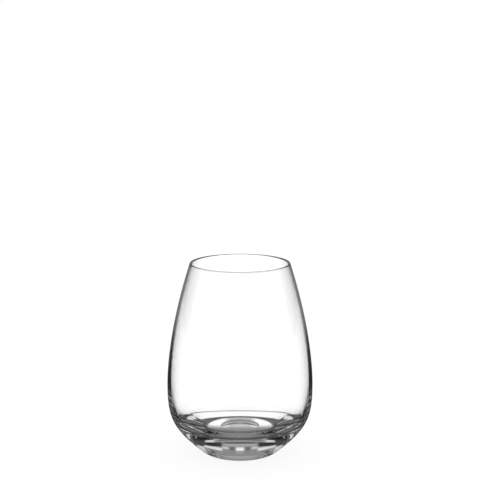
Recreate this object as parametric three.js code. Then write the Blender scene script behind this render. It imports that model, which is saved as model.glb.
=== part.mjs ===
// Clear stemless tumbler, blown in one piece of glass: a heavy rounded base, an egg-shaped bowl
// and a mouth that draws in to a thin polished rim.
// Millimetres, +Z up. The origin is on the axis, level with the surface that the glass stands on.
import {
  CubicBezierCurve,
  EllipseCurve,
  Group,
  LatheGeometry,
  LineCurve,
  MathUtils,
  Mesh,
  MeshStandardMaterial,
  Vector2,
} from "three";

// Outside of the bowl
const overallHeight = 114.2;
const bellyDiameter = 86;
const bellyHeight = 41.2;
const mouthDiameter = 57.7;
const mouthLean = 18;

// Foot: a flat standing ring round a shallow hollow, and a rounded heel that flares up into the wall
const standingDiameter = 35.6;
const standingRingWidth = 5.6;
const hollowDepth = 3;
const heelRadius = 8.95;
const heelFlare = 39.9;

// How far each end of a wall curve keeps its direction
const heelPull = 22.7;
const bellyPullDown = 18.9;
const bellyPullUp = 18;
const mouthPull = 28.3;

// Glass thickness at the rim, at the belly and in the base on the axis
const rimWall = 1.3;
const bellyWall = 1.75;
const baseThickness = 15.1;

// Inside of the bowl: widest a little above the outer belly, with a dished floor and a round corner.
// The floor ends short of the outer belly by floorInset and rises by floorDish on the way there.
const innerBellyLift = 3;
const floorInset = 12.6;
const floorDish = 0.9;
const cornerRadius = 9.6;
const cornerFlare = 71.3;
const innerMouthPull = 14.3;
const innerBellyPullUp = 25.6;
const innerBellyPullDown = 3.7;
const cornerPull = 6.4;

// Facets round the axis and steps along each stretch of the profile
const facetsRound = 60;
const upperWallSteps = 10;
const lowerWallSteps = 8;
const heelSteps = 5;
const cornerSteps = 5;
const floorSteps = 4;
const hollowSteps = 4;
const lipSteps = 5;

const bellyRadius = bellyDiameter / 2;
const mouthRadius = mouthDiameter / 2;
const standingRadius = standingDiameter / 2;
const floorRadius = bellyRadius - floorInset;
const floorHeight = hollowDepth + baseThickness;
const lean = MathUtils.degToRad(mouthLean);
const flare = MathUtils.degToRad(heelFlare);
const cornerTurn = MathUtils.degToRad(cornerFlare);
const downTheMouth = new Vector2(Math.sin(lean), -Math.cos(lean));
const upTheHeel = new Vector2(Math.cos(flare), Math.sin(flare));
const upTheCorner = new Vector2(Math.cos(cornerTurn), Math.sin(cornerTurn));

function circleArc(centre, radius, from, to) {
  return new EllipseCurve(centre.x, centre.y, radius, radius, from, to, to < from);
}

function startOf(curve) {
  return curve.getPoint(0);
}

function endOf(curve) {
  return curve.getPoint(1);
}

// The radius of a shallow bowl or dome, from its half width and its depth
function capRadius(halfWidth, depth) {
  return (halfWidth ** 2 + depth ** 2) / (2 * depth);
}

// A wall curve leaves `from` along `leaving` and comes into `to` from `arriving`.
function wallCurve(from, leaving, arriving, to) {
  return new CubicBezierCurve(from, from.clone().add(leaving), to.clone().add(arriving), to);
}

// The hollow under the base is a shallow dome that ends at the standing ring.
function hollowArc() {
  const halfWidth = standingRadius - standingRingWidth;
  const domeRadius = capRadius(halfWidth, hollowDepth);
  const halfAngle = Math.asin(halfWidth / domeRadius);
  const centre = new Vector2(0, hollowDepth - domeRadius);
  return circleArc(centre, domeRadius, Math.PI / 2, Math.PI / 2 - halfAngle);
}

function heelArc() {
  const centre = new Vector2(standingRadius, heelRadius);
  return circleArc(centre, heelRadius, -Math.PI / 2, -Math.PI / 2 + flare);
}

// The polished lip is half a circle, square to the leaning wall.
function lipArc() {
  const centre = new Vector2(mouthRadius, overallHeight - rimWall / 2);
  return circleArc(centre, rimWall / 2, lean, lean + Math.PI);
}

// The floor of the bowl is a wide shallow dish, drawn from its edge to the axis.
function floorArc() {
  const dishRadius = capRadius(floorRadius, floorDish);
  const halfAngle = Math.asin(floorRadius / dishRadius);
  const centre = new Vector2(0, floorHeight + dishRadius);
  return circleArc(centre, dishRadius, -Math.PI / 2 + halfAngle, -Math.PI / 2);
}

// The corner is drawn from the wall down to the edge of the floor, which it meets smoothly.
function cornerArc(floor) {
  const edge = startOf(floor);
  const floorSlope = Math.atan2(-floor.getTangent(0).y, -floor.getTangent(0).x);
  const centre = new Vector2(-Math.sin(floorSlope), Math.cos(floorSlope))
    .multiplyScalar(cornerRadius)
    .add(edge);
  return circleArc(centre, cornerRadius, cornerTurn - Math.PI / 2, floorSlope - Math.PI / 2);
}

// The profile runs from the axis under the base, up the outside, over the lip and down the inside.
function glassProfile() {
  const hollow = hollowArc();
  const heel = heelArc();
  const lip = lipArc();
  const floor = floorArc();
  const corner = cornerArc(floor);
  const outerBelly = new Vector2(bellyRadius, bellyHeight);
  const innerBelly = new Vector2(bellyRadius - bellyWall, bellyHeight + innerBellyLift);
  const outerLowerWall = wallCurve(
    endOf(heel),
    upTheHeel.clone().multiplyScalar(heelPull),
    new Vector2(0, -bellyPullDown),
    outerBelly,
  );
  const outerUpperWall = wallCurve(
    outerBelly,
    new Vector2(0, bellyPullUp),
    downTheMouth.clone().multiplyScalar(mouthPull),
    startOf(lip),
  );
  const innerUpperWall = wallCurve(
    endOf(lip),
    downTheMouth.clone().multiplyScalar(innerMouthPull),
    new Vector2(0, innerBellyPullUp),
    innerBelly,
  );
  const innerLowerWall = wallCurve(
    innerBelly,
    new Vector2(0, -innerBellyPullDown),
    upTheCorner.clone().multiplyScalar(cornerPull),
    startOf(corner),
  );
  const stretches = [
    [hollow, hollowSteps],
    [new LineCurve(endOf(hollow), startOf(heel)), 1],
    [heel, heelSteps],
    [outerLowerWall, lowerWallSteps],
    [outerUpperWall, upperWallSteps],
    [lip, lipSteps],
    [innerUpperWall, upperWallSteps],
    [innerLowerWall, lowerWallSteps],
    [corner, cornerSteps],
    [floor, floorSteps],
  ];
  const points = [startOf(hollow)];
  for (const [curve, steps] of stretches) points.push(...curve.getPoints(steps).slice(1));
  return points;
}

function tumblerGlass() {
  const geometry = new LatheGeometry(glassProfile(), facetsRound);
  geometry.rotateX(Math.PI / 2);
  const clearGlass = new MeshStandardMaterial({
    color: 0xf4f7f6,
    roughness: 0.03,
    metalness: 0,
    transparent: true,
    opacity: 0.35,
  });
  const mesh = new Mesh(geometry, clearGlass);
  mesh.name = "tumbler_glass";
  return mesh;
}

const tumbler = new Group();
tumbler.add(tumblerGlass());

export default tumbler;
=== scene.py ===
from math import asin, ceil, cos, degrees, pi, radians, sin, tan

import bpy
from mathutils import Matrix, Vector


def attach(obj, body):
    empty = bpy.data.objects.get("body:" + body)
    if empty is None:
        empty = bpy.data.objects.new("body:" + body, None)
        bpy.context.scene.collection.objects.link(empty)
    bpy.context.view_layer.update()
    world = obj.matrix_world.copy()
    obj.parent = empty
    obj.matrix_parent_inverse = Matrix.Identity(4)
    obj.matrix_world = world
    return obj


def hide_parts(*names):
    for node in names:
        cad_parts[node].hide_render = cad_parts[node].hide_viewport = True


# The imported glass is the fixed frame.
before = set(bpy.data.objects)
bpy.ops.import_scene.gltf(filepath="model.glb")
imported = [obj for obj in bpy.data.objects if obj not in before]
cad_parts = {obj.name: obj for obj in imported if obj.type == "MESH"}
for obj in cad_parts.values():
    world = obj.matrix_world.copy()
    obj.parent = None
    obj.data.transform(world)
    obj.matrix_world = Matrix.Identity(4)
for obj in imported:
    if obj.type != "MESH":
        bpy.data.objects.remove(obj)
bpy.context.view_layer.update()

MM = 0.001

# Outside of the bowl. The glass is written in millimetres, with its angles in degrees.
OVERALL_HEIGHT = 114.2
BELLY_RADIUS = 43.0
BELLY_HEIGHT = 41.2
MOUTH_RADIUS = 28.85
MOUTH_LEAN = radians(18)

# Foot: a flat standing ring round a shallow hollow, and a heel that flares up into the wall
STANDING_RADIUS = 17.8
STANDING_RING_WIDTH = 5.6
HOLLOW_DEPTH = 3.0
HEEL_RADIUS = 8.95
HEEL_FLARE = radians(39.9)

# How far each end of an outer wall curve keeps its direction
HEEL_PULL = 22.7
BELLY_PULL_DOWN = 18.9
BELLY_PULL_UP = 18.0
MOUTH_PULL = 28.3

# Glass thickness at the rim, at the belly and in the base on the axis
RIM_WALL = 1.3
BELLY_WALL = 1.75
BASE_THICKNESS = 15.1

# Inside of the bowl: widest a little above the outer belly, with a dished floor and a round corner
INNER_BELLY_LIFT = 3.0
FLOOR_INSET = 12.6
FLOOR_DISH = 0.9
CORNER_RADIUS = 9.6
CORNER_FLARE = radians(71.3)
INNER_MOUTH_PULL = 14.3
INNER_BELLY_PULL_UP = 25.6
INNER_BELLY_PULL_DOWN = 3.7
CORNER_PULL = 6.4

# Fineness of the finished glass
FACETS_ROUND = 216
STEPS_PER_CURVE = 18
WELD_DISTANCE = 0.002

# From here on, a pair of numbers says where a soft change begins and where it is complete.

# Clear glass with a faint green, and painted shade on the outer half of the lip: a grey in its colour
# that stands in for the darker line that light makes along the rim.
# The painted shade is placed by its depth below the top and its distance outside the middle of the lip.
GLASS_INDEX = 1.52
GLASS_GREEN = (0.90, 0.96, 0.94, 1)
GLASS_GREEN_DENSITY = 3
LIP_PAINTED_SHADE = 0.36
LIP_SHADE_BELOW_TOP = (0.62, 0.45)
LIP_SHADE_OUTSIDE_MIDDLE = (-0.10, 0.05)

# Faint level rings in the thick base, which fade out above it
RINGS_PER_METRE = 300.0
RING_DETAIL = 1.0
RING_DEPTH = 0.02
RINGS_BELOW = (24.0, 18.0)


def point(r, z):
    return Vector((r, z))


def straight(a, b):
    return [(a, a.lerp(b, 1 / 3), a.lerp(b, 2 / 3), b)]


def wall_curve(start, leaving, arriving, end):
    return [(start, start + leaving, end + arriving, end)]


def arc(centre, radius, start, end):
    """A circular stretch as one curve for each quarter turn or less."""
    rounding = 1e-6
    count = ceil(abs(end - start) / (pi / 2) - rounding)
    turn = (end - start) / count
    pull = 4 / 3 * tan(turn / 4) * radius
    curves = []
    for i in range(count):
        a, b = start + turn * i, start + turn * (i + 1)
        p, q = point(cos(a), sin(a)), point(cos(b), sin(b))
        curves.append((
            centre + radius * p,
            centre + radius * p + pull * point(-p.y, p.x),
            centre + radius * q - pull * point(-q.y, q.x),
            centre + radius * q,
        ))
    return curves


def cap_radius(half_width, depth):
    """The radius of a shallow bowl or dome, from its half width and its depth."""
    return (half_width ** 2 + depth ** 2) / (2 * depth)


def glass_outline():
    """Curves from the axis under the base, up the outside, over the lip and down the inside."""
    hollow_half = STANDING_RADIUS - STANDING_RING_WIDTH
    dome = cap_radius(hollow_half, HOLLOW_DEPTH)
    hollow = arc(point(0, HOLLOW_DEPTH - dome), dome, pi / 2, pi / 2 - asin(hollow_half / dome))
    heel = arc(point(STANDING_RADIUS, HEEL_RADIUS), HEEL_RADIUS, -pi / 2, -pi / 2 + HEEL_FLARE)
    lip = arc(
        point(MOUTH_RADIUS, OVERALL_HEIGHT - RIM_WALL / 2), RIM_WALL / 2, MOUTH_LEAN, MOUTH_LEAN + pi
    )

    floor_edge = BELLY_RADIUS - FLOOR_INSET
    dish = cap_radius(floor_edge, FLOOR_DISH)
    floor_slope = asin(floor_edge / dish)
    floor_low = HOLLOW_DEPTH + BASE_THICKNESS
    floor = arc(point(0, floor_low + dish), dish, floor_slope - pi / 2, -pi / 2)
    corner_centre = floor[0][0] + CORNER_RADIUS * point(-sin(floor_slope), cos(floor_slope))
    corner = arc(corner_centre, CORNER_RADIUS, CORNER_FLARE - pi / 2, floor_slope - pi / 2)

    down_the_mouth = point(sin(MOUTH_LEAN), -cos(MOUTH_LEAN))
    up_the_heel = point(cos(HEEL_FLARE), sin(HEEL_FLARE))
    up_the_corner = point(cos(CORNER_FLARE), sin(CORNER_FLARE))
    outer_belly = point(BELLY_RADIUS, BELLY_HEIGHT)
    inner_belly = point(BELLY_RADIUS - BELLY_WALL, BELLY_HEIGHT + INNER_BELLY_LIFT)

    outline = hollow + straight(hollow[-1][3], heel[0][0]) + heel
    outline += wall_curve(
        heel[-1][3], HEEL_PULL * up_the_heel, point(0, -BELLY_PULL_DOWN), outer_belly
    )
    outline += wall_curve(
        outer_belly, point(0, BELLY_PULL_UP), MOUTH_PULL * down_the_mouth, lip[0][0]
    )
    outline += lip
    outline += wall_curve(
        lip[-1][3], INNER_MOUTH_PULL * down_the_mouth, point(0, INNER_BELLY_PULL_UP), inner_belly
    )
    outline += wall_curve(
        inner_belly, point(0, -INNER_BELLY_PULL_DOWN), CORNER_PULL * up_the_corner, corner[0][0]
    )
    return outline + corner + floor


def outline_object(curves):
    """The outline as a curve in the XZ plane, one knot where two stretches meet."""
    data = bpy.data.curves.new("glass_outline", "CURVE")
    data.dimensions = "3D"
    data.resolution_u = STEPS_PER_CURVE
    spline = data.splines.new("BEZIER")
    spline.bezier_points.add(len(curves))
    for knot in spline.bezier_points:
        knot.handle_left_type = knot.handle_right_type = "FREE"

    def placed(p):
        return Vector((p.x * MM, 0, p.y * MM))

    for i, (start, leaving, arriving, end) in enumerate(curves):
        first, second = spline.bezier_points[i], spline.bezier_points[i + 1]
        first.co, first.handle_right = placed(start), placed(leaving)
        second.co, second.handle_left = placed(end), placed(arriving)
    ends = spline.bezier_points[0], spline.bezier_points[-1]
    ends[0].handle_left, ends[1].handle_right = ends[0].co, ends[1].co
    obj = bpy.data.objects.new("glass_outline", data)
    bpy.context.scene.collection.objects.link(obj)
    return obj


def add_node(tree, kind, links=(), **settings):
    """A node with its settings. `links` gives an input's name or number and a value or another output."""
    node = tree.nodes.new(kind)
    for name, value in settings.items():
        setattr(node, name, value)
    for socket, value in dict(links).items():
        if isinstance(value, bpy.types.NodeSocket):
            tree.links.new(value, node.inputs[socket])
        else:
            node.inputs[socket].default_value = value
    return node


def calc(tree, operation, a, b=0.0):
    return add_node(tree, "ShaderNodeMath", {0: a, 1: b}, operation=operation).outputs[0]


def step_up(tree, value, pair):
    """Rises softly from 0 at the first of the pair to 1 at the second."""
    return add_node(
        tree,
        "ShaderNodeMapRange",
        {"Value": value, "From Min": pair[0], "From Max": pair[1]},
        interpolation_type="SMOOTHSTEP",
    ).outputs["Result"]


def band(tree, value, middle, half_width, softness):
    """1 within `half_width` of `middle`, 0 outside, with soft edges."""
    away = calc(tree, "ABSOLUTE", calc(tree, "SUBTRACT", value, middle))
    outside = step_up(tree, away, (half_width - softness, half_width + softness))
    return calc(tree, "SUBTRACT", 1.0, outside)


def blend(tree, share, a, b):
    return add_node(tree, "ShaderNodeMix", {"Factor": share, "A": a, "B": b}).outputs[0]


def length_of(tree, place, scale=(1, 1, 1)):
    """The length of a vector whose parts are scaled first."""
    scaled = add_node(tree, "ShaderNodeVectorMath", {0: place, 1: scale}, operation="MULTIPLY")
    length = add_node(tree, "ShaderNodeVectorMath", {0: scaled.outputs[0]}, operation="LENGTH")
    return length.outputs["Value"]


def turning_tree():
    """Turns an outline about the Z axis into a closed skin."""
    tree = bpy.data.node_groups.new("turned_glass", "GeometryNodeTree")
    sockets = tree.interface
    sockets.new_socket("Outline", in_out="INPUT", socket_type="NodeSocketObject")
    sockets.new_socket("Facets round", in_out="INPUT", socket_type="NodeSocketInt")
    sockets.new_socket("Weld distance", in_out="INPUT", socket_type="NodeSocketFloat")
    sockets.new_socket("Glass", in_out="INPUT", socket_type="NodeSocketMaterial")
    sockets.new_socket("Skin", in_out="OUTPUT", socket_type="NodeSocketGeometry")
    given = tree.nodes.new("NodeGroupInput").outputs

    # A flat sheet has one row for each point of the outline. Its last column closes the round.
    outline = add_node(tree, "GeometryNodeObjectInfo", {"Object": given["Outline"]})
    knots = add_node(
        tree, "GeometryNodeCurveToPoints", {"Curve": outline.outputs["Geometry"]}, mode="EVALUATED"
    ).outputs["Points"]
    count = add_node(
        tree, "GeometryNodeAttributeDomainSize", {0: knots}, component="POINTCLOUD"
    ).outputs["Point Count"]
    columns = calc(tree, "ADD", given["Facets round"], 1.0)
    sheet = add_node(
        tree, "GeometryNodeMeshGrid", {"Vertices X": count, "Vertices Y": columns}
    ).outputs["Mesh"]

    index = tree.nodes.new("GeometryNodeInputIndex").outputs[0]
    row = calc(tree, "FLOOR", calc(tree, "DIVIDE", index, columns))
    column = calc(tree, "FLOORED_MODULO", index, columns)
    share = calc(tree, "DIVIDE", column, given["Facets round"])
    angle = calc(tree, "MULTIPLY", share, 2 * pi)

    # Each point of the sheet goes to its place on the outline, turned by its column's angle
    here = tree.nodes.new("GeometryNodeInputPosition").outputs[0]
    on_outline = add_node(
        tree, "GeometryNodeSampleIndex", {"Geometry": knots}, data_type="FLOAT_VECTOR", domain="POINT"
    )
    tree.links.new(here, on_outline.inputs["Value"])
    tree.links.new(row, on_outline.inputs["Index"])
    turned = add_node(
        tree,
        "ShaderNodeVectorRotate",
        {"Vector": on_outline.outputs["Value"], "Angle": angle},
        rotation_type="Z_AXIS",
    ).outputs[0]
    skin = add_node(
        tree, "GeometryNodeSetPosition", {"Geometry": sheet, "Position": turned}
    ).outputs[0]
    skin = add_node(
        tree, "GeometryNodeMergeByDistance", {"Geometry": skin, "Distance": given["Weld distance"]}
    ).outputs[0]
    skin = add_node(tree, "GeometryNodeFlipFaces", {"Mesh": skin}).outputs[0]
    skin = add_node(tree, "GeometryNodeSetShadeSmooth", {"Geometry": skin}).outputs[0]
    skin = add_node(tree, "GeometryNodeRealizeInstances", {"Geometry": skin}).outputs[0]
    skin = add_node(
        tree, "GeometryNodeSetMaterial", {"Geometry": skin, "Material": given["Glass"]}
    ).outputs[0]
    add_node(tree, "NodeGroupOutput", {"Skin": skin})
    return tree


def set_inputs(modifier, **values):
    """Sets a tree's named inputs by their socket identifiers."""
    for socket in modifier.node_group.interface.items_tree:
        if socket.in_out == "INPUT":
            modifier[socket.identifier] = values[socket.name.replace(" ", "_").lower()]


def clear_glass():
    """Clear glass with a painted shade line on the lip and the faint rings of a blown base."""
    glass = bpy.data.materials.new("clear_glass")
    glass.use_nodes = True
    tree = glass.node_tree
    shader = tree.nodes["Principled BSDF"]
    place = tree.nodes.new("ShaderNodeTexCoord").outputs["Object"]
    height = add_node(tree, "ShaderNodeSeparateXYZ", {0: place}).outputs["Z"]
    from_axis = length_of(tree, place, (1, 1, 0))

    # Painted shade: the lip's outer half turns grey in the base colour, standing in for the darker line
    # that light makes along the rim.
    top_of_lip = [(OVERALL_HEIGHT - below) * MM for below in LIP_SHADE_BELOW_TOP]
    outer_half = [(MOUTH_RADIUS + outside) * MM for outside in LIP_SHADE_OUTSIDE_MIDDLE]
    lip = calc(
        tree, "MULTIPLY", step_up(tree, height, top_of_lip), step_up(tree, from_axis, outer_half)
    )
    tree.links.new(blend(tree, lip, 1.0, LIP_PAINTED_SHADE), shader.inputs["Base Color"])

    rings = add_node(
        tree,
        "ShaderNodeTexNoise",
        {"W": height, "Scale": RINGS_PER_METRE, "Detail": RING_DETAIL},
        noise_dimensions="1D",
    ).outputs[0]
    in_base = step_up(tree, height, [below * MM for below in RINGS_BELOW])
    bump = add_node(
        tree,
        "ShaderNodeBump",
        {"Height": calc(tree, "MULTIPLY", rings, in_base), "Strength": 1.0, "Distance": RING_DEPTH * MM},
    ).outputs[0]
    tree.links.new(bump, shader.inputs["Normal"])

    shader.inputs["Roughness"].default_value = 0
    shader.inputs["IOR"].default_value = GLASS_INDEX
    shader.inputs["Transmission Weight"].default_value = 1
    absorb = tree.nodes.new("ShaderNodeVolumeAbsorption")
    absorb.inputs["Color"].default_value = GLASS_GREEN
    absorb.inputs["Density"].default_value = GLASS_GREEN_DENSITY
    tree.links.new(absorb.outputs[0], tree.nodes["Material Output"].inputs["Volume"])
    return glass


def tumbler_glass():
    """The whole glass, turned from its outline and made a plain mesh."""
    outline = outline_object(glass_outline())
    blank = bpy.data.objects.new("turning_blank", bpy.data.meshes.new("turning_blank"))
    bpy.context.scene.collection.objects.link(blank)
    turning = blank.modifiers.new("turning", "NODES")
    turning.node_group = turning_tree()
    set_inputs(
        turning,
        outline=outline,
        facets_round=FACETS_ROUND,
        weld_distance=WELD_DISTANCE * MM,
        glass=clear_glass(),
    )
    bpy.context.view_layer.update()
    depsgraph = bpy.context.evaluated_depsgraph_get()
    skin = bpy.data.meshes.new_from_object(blank.evaluated_get(depsgraph), depsgraph=depsgraph)
    skin.name = "glass_tumbler"
    bpy.data.objects.remove(blank)
    bpy.data.objects.remove(outline)
    piece = bpy.data.objects.new("glass_tumbler", skin)
    bpy.context.scene.collection.objects.link(piece)
    return piece


piece = tumbler_glass()
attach(piece, "root")
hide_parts("tumbler_glass")

# Camera: a little above the rim, with a long lens. Metres, and radians below the level.
CAMERA_DISTANCE = 0.746693
CAMERA_HEIGHT = 0.253428
CAMERA_PITCH = 0.167
LENS_MM = 97.5
SENSOR_MM = 36


def photo_camera():
    data = bpy.data.cameras.new("photo_camera")
    data.lens = LENS_MM
    data.sensor_width = SENSOR_MM
    camera = bpy.data.objects.new("photo_camera", data)
    camera.location = (0, -CAMERA_DISTANCE, CAMERA_HEIGHT)
    camera.rotation_euler = (pi / 2 - CAMERA_PITCH, 0, 0)
    bpy.context.scene.collection.objects.link(camera)
    return camera


# The glass stands on white, in a dim studio. Straight through it shows the white, with a painted shade
# under its own foot. What it mirrors, on its skin or inside its thick base, is the studio round it, with
# painted light and shade on the table.
# Turns and heights are in degrees, turns from +Y, the side away from the camera. Lengths are in metres.

# White as it stands behind the glass, far off and near the foot. What is seen straight through the
# glass may be over 1, because the four faces on the way mirror about a sixth of it away.
WHITE = 1.20
WHITE_NEAR = 1.30
WHITE_FAR_OFF = (0.20, 0.50)
WHITE_BELOW_HEIGHT = (15, 25)

# The room that the base mirrors: a dim back wall, dark sides and front, and a soft light overhead
BACK_WALL = 0.26
SIDES = 0.0
FRONT = 0.05
OVERHEAD = 0.42
SIDES_FROM_TURN = (34, 38)
FRONT_FROM_TURN = (95, 105)
OVERHEAD_FROM_HEIGHT = (60, 64)

# Light and dark panels in that room, to the right and the left alike. Each goes from one turn to
# another and from one height to another, and has its own light. A later one stands before an earlier.
PANEL_SOFT_ACROSS = 1.5
PANEL_SOFT_UPWARD = 0.4
PANELS = [
    # Wide dim screens at the sides
    (37, 98, -2.0, 30.0, 0.12),
    # Bars behind the glass, above its middle
    (-11, 11, 17.2, 18.8, 0.40),
    (-11, 11, 18.8, 19.5, 0.06),
    (-19, 19, 19.5, 20.5, 0.32),
    (-15, 15, 20.5, 22.2, 0.12),
    # Light cards at the ends of the bars
    (12, 19, 22.2, 24.0, 0.50),
    (18, 26, 19.8, 22.4, 0.72),
    # Black flags above, below and beside them
    (19, 50, 22.6, 34.0, 0.01),
    (12, 36, 16.4, 19.6, 0.01),
    (27, 42, 12.8, 24.0, 0.05),
    # A row of light cards, with a bright one in the middle
    (12, 27, 12.8, 15.4, 0.85),
    (7, 12, 15.0, 16.8, 0.62),
    (-3, 3, 14.8, 16.8, 0.95),
    (3, 7, 14.8, 17.0, 0.13),
    # Low grey cards under the row
    (12, 22, 8.0, 10.4, 0.02),
    (12, 26, 10.4, 12.8, 0.25),
    (22, 27, 8.0, 12.0, 0.38),
    (22, 27, 4.0, 8.0, 0.15),
    # Tall light cards, with a dark gap, where the back wall ends
    (27, 37, 2.0, 12.6, 0.85),
    (37, 43, 5.0, 27.0, 0.06),
    (43, 50, 10.0, 17.0, 0.50),
    # Windows in the side screens and above them
    (66, 79, 15.5, 24.5, 0.45),
    (79, 91, 5.0, 22.5, 1.00),
    (80, 87, 36.0, 39.0, 0.40),
]

# Painted light and shade on the table that the base mirrors: dim near the glass, a dark strip and a light
# patch behind it, lighter far off and to the sides, dark in front. The sides begin past a line that
# spreads to the back.
TABLE_NEAR = 0.16
TABLE_STRIP = 0.01
TABLE_FAR = 0.18
TABLE_SIDES = 0.18
TABLE_FRONT = 0.01
TABLE_PATCH = 0.42
STRIP_FROM = (0.048, 0.058)
FAR_FROM = (0.25, 0.60)
SIDES_SPREAD = 0.62
SIDES_FROM = (0.058, 0.075)
BACK_FROM = (-0.005, 0.015)
PATCH_HALF_WIDTH = 0.012
PATCH_SOFT_ACROSS = 0.004
PATCH_BEHIND = 0.085
PATCH_HALF_DEPTH = 0.025
PATCH_SOFT_DEEP = 0.010

# What the outer skin mirrors: a dim room, and painted shade on the table in front, behind and round the
# foot, with painted light on its sides
SKIN_ROOM = 0.30
SKIN_FRONT = 0.02
SKIN_SIDES = 1.00
SKIN_FOOT = 0.15
SKIN_ROOM_FADES = (20, 35)
SKIN_BACK_FROM = (-0.04, 0.0)
SKIN_SIDES_SPREAD = 0.85
SKIN_SIDES_FROM = (0.045, 0.060)
SKIN_SIDES_OFF_FOOT = (0.10, 0.13)
SKIN_OFF_FOOT = (0.035, 0.045)

# Painted shade under the foot, on the table seen straight through the glass, as ovals that are wider
# across: dark at its edge, painted light inside the standing ring, dim in the middle and in front. A thin
# grey line runs round it.
SHADE_WIDTH = 1.61
SHADE_EDGE = (0.0180, 0.0195)
SHADE_DARK = 0.10
SHADE_LINE = 0.35
SHADE_LINE_AT = 0.0293
SHADE_LINE_HALF = 0.0008
SHADE_LINE_SOFT = 0.0004
FOOT_WIDTH = 1.25
FOOT_EDGE = (0.0155, 0.0165)
FOOT_DIM = 0.60
FOOT_LIGHT = 1.25
FOOT_FRONT = 0.18
FOOT_LIGHT_ASIDE = (0.006, 0.011)
FOOT_BACK_FROM = (-0.006, 0.004)

# The table that the camera sees glows plain white, and a little of it is lit, which keeps the shadow
TABLE_HALF = 3
TABLE_GLOW = 0.90
TABLE_GREY = (0.12, 0.12, 0.12, 1)

# Tells a count of none from a count of one or more
ONE_OR_MORE = (0.4, 0.6)

# Light goes round many times in the rim and the base before it leaves
BOUNCES = 128


def turn_from_back(tree, parts):
    """How far a direction lies round from +Y, in degrees, the same to both sides."""
    turn = calc(tree, "ABSOLUTE", calc(tree, "ARCTAN2", parts["X"], parts["Y"]))
    return calc(tree, "MULTIPLY", turn, degrees(1))


def seen_by_glass(tree, straight_through, on_the_skin, within):
    """Sorts what a ray finds by its way: through the glass, off its outer skin, or mirrored inside it."""
    path = tree.nodes.new("ShaderNodeLightPath").outputs
    mirrored = step_up(tree, path["Glossy Depth"], ONE_OR_MORE)
    entered = step_up(tree, path["Transmission Depth"], ONE_OR_MORE)
    return blend(tree, mirrored, straight_through, blend(tree, entered, on_the_skin, within))


def mirrored_room(tree, turn, height):
    """The room inside the base's reflections, with its panels."""
    room = blend(tree, step_up(tree, turn, SIDES_FROM_TURN), BACK_WALL, SIDES)
    room = blend(tree, step_up(tree, turn, FRONT_FROM_TURN), room, FRONT)
    room = blend(tree, step_up(tree, height, OVERHEAD_FROM_HEIGHT), room, OVERHEAD)
    for turn_from, turn_to, low, high, panel_light in PANELS:
        across = band(
            tree, turn, (turn_from + turn_to) / 2, (turn_to - turn_from) / 2, PANEL_SOFT_ACROSS
        )
        upward = band(tree, height, (low + high) / 2, (high - low) / 2, PANEL_SOFT_UPWARD)
        room = blend(tree, calc(tree, "MULTIPLY", across, upward), room, panel_light)
    return room


def studio():
    """White for the camera and through the glass; a dim room with panels in what the glass mirrors."""
    world = bpy.data.worlds.new("studio")
    world.use_nodes = True
    tree = world.node_tree
    direction = tree.nodes.new("ShaderNodeTexCoord").outputs["Generated"]
    parts = add_node(tree, "ShaderNodeSeparateXYZ", {0: direction}).outputs
    turn = turn_from_back(tree, parts)
    height = calc(tree, "MULTIPLY", calc(tree, "ARCSINE", parts["Z"]), degrees(1))
    horizon = blend(tree, step_up(tree, height, WHITE_BELOW_HEIGHT), WHITE, BACK_WALL)
    skin = blend(tree, step_up(tree, height, SKIN_ROOM_FADES), SKIN_ROOM, 0.0)
    light = seen_by_glass(tree, horizon, skin, mirrored_room(tree, turn, height))
    path = tree.nodes.new("ShaderNodeLightPath").outputs
    plain = calc(tree, "MAXIMUM", path["Is Camera Ray"], path["Is Diffuse Ray"])
    tree.links.new(blend(tree, plain, light, 1.0), tree.nodes["Background"].inputs["Color"])
    return world


def shade_under_foot(tree, place, deep, aside, away):
    """The white table straight through the glass, with the shade of the foot painted on it."""
    across_shade = length_of(tree, place, (1 / SHADE_WIDTH, 1, 1))
    across_foot = length_of(tree, place, (1 / FOOT_WIDTH, 1, 1))
    foot = blend(tree, step_up(tree, aside, FOOT_LIGHT_ASIDE), FOOT_DIM, FOOT_LIGHT)
    foot = blend(tree, step_up(tree, deep, FOOT_BACK_FROM), FOOT_FRONT, foot)
    foot = blend(tree, step_up(tree, across_foot, FOOT_EDGE), foot, SHADE_DARK)
    white = blend(tree, step_up(tree, away, WHITE_FAR_OFF), WHITE_NEAR, WHITE)
    shade = blend(tree, step_up(tree, across_shade, SHADE_EDGE), foot, white)
    line = band(tree, across_shade, SHADE_LINE_AT, SHADE_LINE_HALF, SHADE_LINE_SOFT)
    return blend(tree, line, shade, SHADE_LINE)


def past_spread(tree, deep, aside, spread):
    """How far a place lies outside two lines that spread to the back."""
    return calc(tree, "SUBTRACT", aside, calc(tree, "MULTIPLY", deep, spread))


def mirrored_table(tree, strip, deep, aside):
    """The table inside the base's reflections, with painted light and shade on it."""
    on_sides = step_up(tree, past_spread(tree, deep, aside, SIDES_SPREAD), SIDES_FROM)
    table = blend(tree, on_sides, strip, TABLE_SIDES)
    table = blend(tree, step_up(tree, deep, BACK_FROM), TABLE_FRONT, table)
    patch = calc(
        tree,
        "MULTIPLY",
        band(tree, aside, 0.0, PATCH_HALF_WIDTH, PATCH_SOFT_ACROSS),
        band(tree, deep, PATCH_BEHIND, PATCH_HALF_DEPTH, PATCH_SOFT_DEEP),
    )
    return blend(tree, patch, table, TABLE_PATCH)


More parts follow.
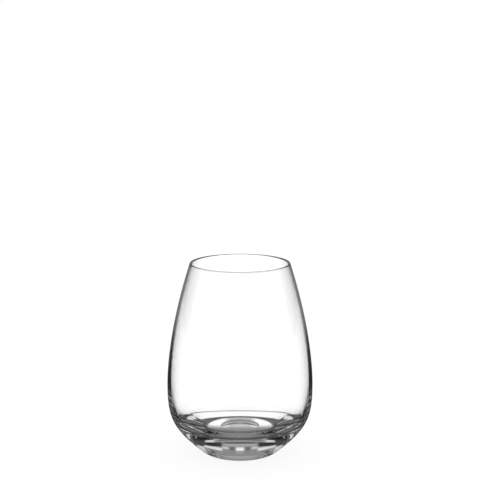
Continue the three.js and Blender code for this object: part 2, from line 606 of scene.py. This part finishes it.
def table_on_skin(tree, strip, deep, aside, away):
    """The table in the reflections of the outer skin, with painted light and shade on it."""
    behind = step_up(tree, deep, SKIN_BACK_FROM)
    on_sides = step_up(tree, past_spread(tree, deep, aside, SKIN_SIDES_SPREAD), SKIN_SIDES_FROM)
    on_sides = calc(tree, "MULTIPLY", on_sides, step_up(tree, away, SKIN_SIDES_OFF_FOOT))
    on_sides = calc(tree, "MULTIPLY", on_sides, behind)
    skin = blend(tree, behind, SKIN_FRONT, strip)
    skin = blend(tree, on_sides, skin, SKIN_SIDES)
    return blend(tree, step_up(tree, away, SKIN_OFF_FOOT), SKIN_FOOT, skin)


def table_top():
    """The camera sees plain white with a faint shadow; the glass sees the painted shade of its own foot
    and a dim table with painted light and shade.
    """
    top = bpy.data.materials.new("white_table")
    top.use_nodes = True
    tree = top.node_tree
    tree.nodes.remove(tree.nodes["Principled BSDF"])
    place = tree.nodes.new("ShaderNodeTexCoord").outputs["Object"]
    parts = add_node(tree, "ShaderNodeSeparateXYZ", {0: place}).outputs
    deep = parts["Y"]
    aside = calc(tree, "ABSOLUTE", parts["X"])
    away = length_of(tree, place)
    strip = blend(tree, step_up(tree, away, STRIP_FROM), TABLE_NEAR, TABLE_STRIP)
    strip = blend(tree, step_up(tree, away, FAR_FROM), strip, TABLE_FAR)

    seen = seen_by_glass(
        tree,
        shade_under_foot(tree, place, deep, aside, away),
        table_on_skin(tree, strip, deep, aside, away),
        mirrored_table(tree, strip, deep, aside),
    )
    for_glass = add_node(tree, "ShaderNodeEmission", {"Color": seen}).outputs[0]
    lit = add_node(tree, "ShaderNodeBsdfDiffuse", {"Color": TABLE_GREY}).outputs[0]
    glow = add_node(tree, "ShaderNodeEmission", {"Strength": TABLE_GLOW}).outputs[0]
    for_camera = add_node(tree, "ShaderNodeAddShader", {0: lit, 1: glow}).outputs[0]
    camera_ray = tree.nodes.new("ShaderNodeLightPath").outputs["Is Camera Ray"]
    mixed = add_node(tree, "ShaderNodeMixShader", {0: camera_ray, 1: for_glass, 2: for_camera})
    tree.links.new(mixed.outputs[0], tree.nodes["Material Output"].inputs["Surface"])
    return top


def white_table():
    """A wide square table top, level with the standing ring."""
    half = TABLE_HALF
    corners = [(-half, -half, 0), (half, -half, 0), (half, half, 0), (-half, half, 0)]
    mesh = bpy.data.meshes.new("table")
    mesh.from_pydata(corners, [], [(0, 1, 2, 3)])
    mesh.materials.append(table_top())
    table = bpy.data.objects.new("table", mesh)
    bpy.context.scene.collection.objects.link(table)
    return table


scene = bpy.context.scene
scene.camera = photo_camera()
scene.world = studio()
white_table()

scene.view_settings.view_transform = "Standard"
scene.cycles.max_bounces = BOUNCES
scene.cycles.transmission_bounces = BOUNCES
scene.cycles.glossy_bounces = BOUNCES
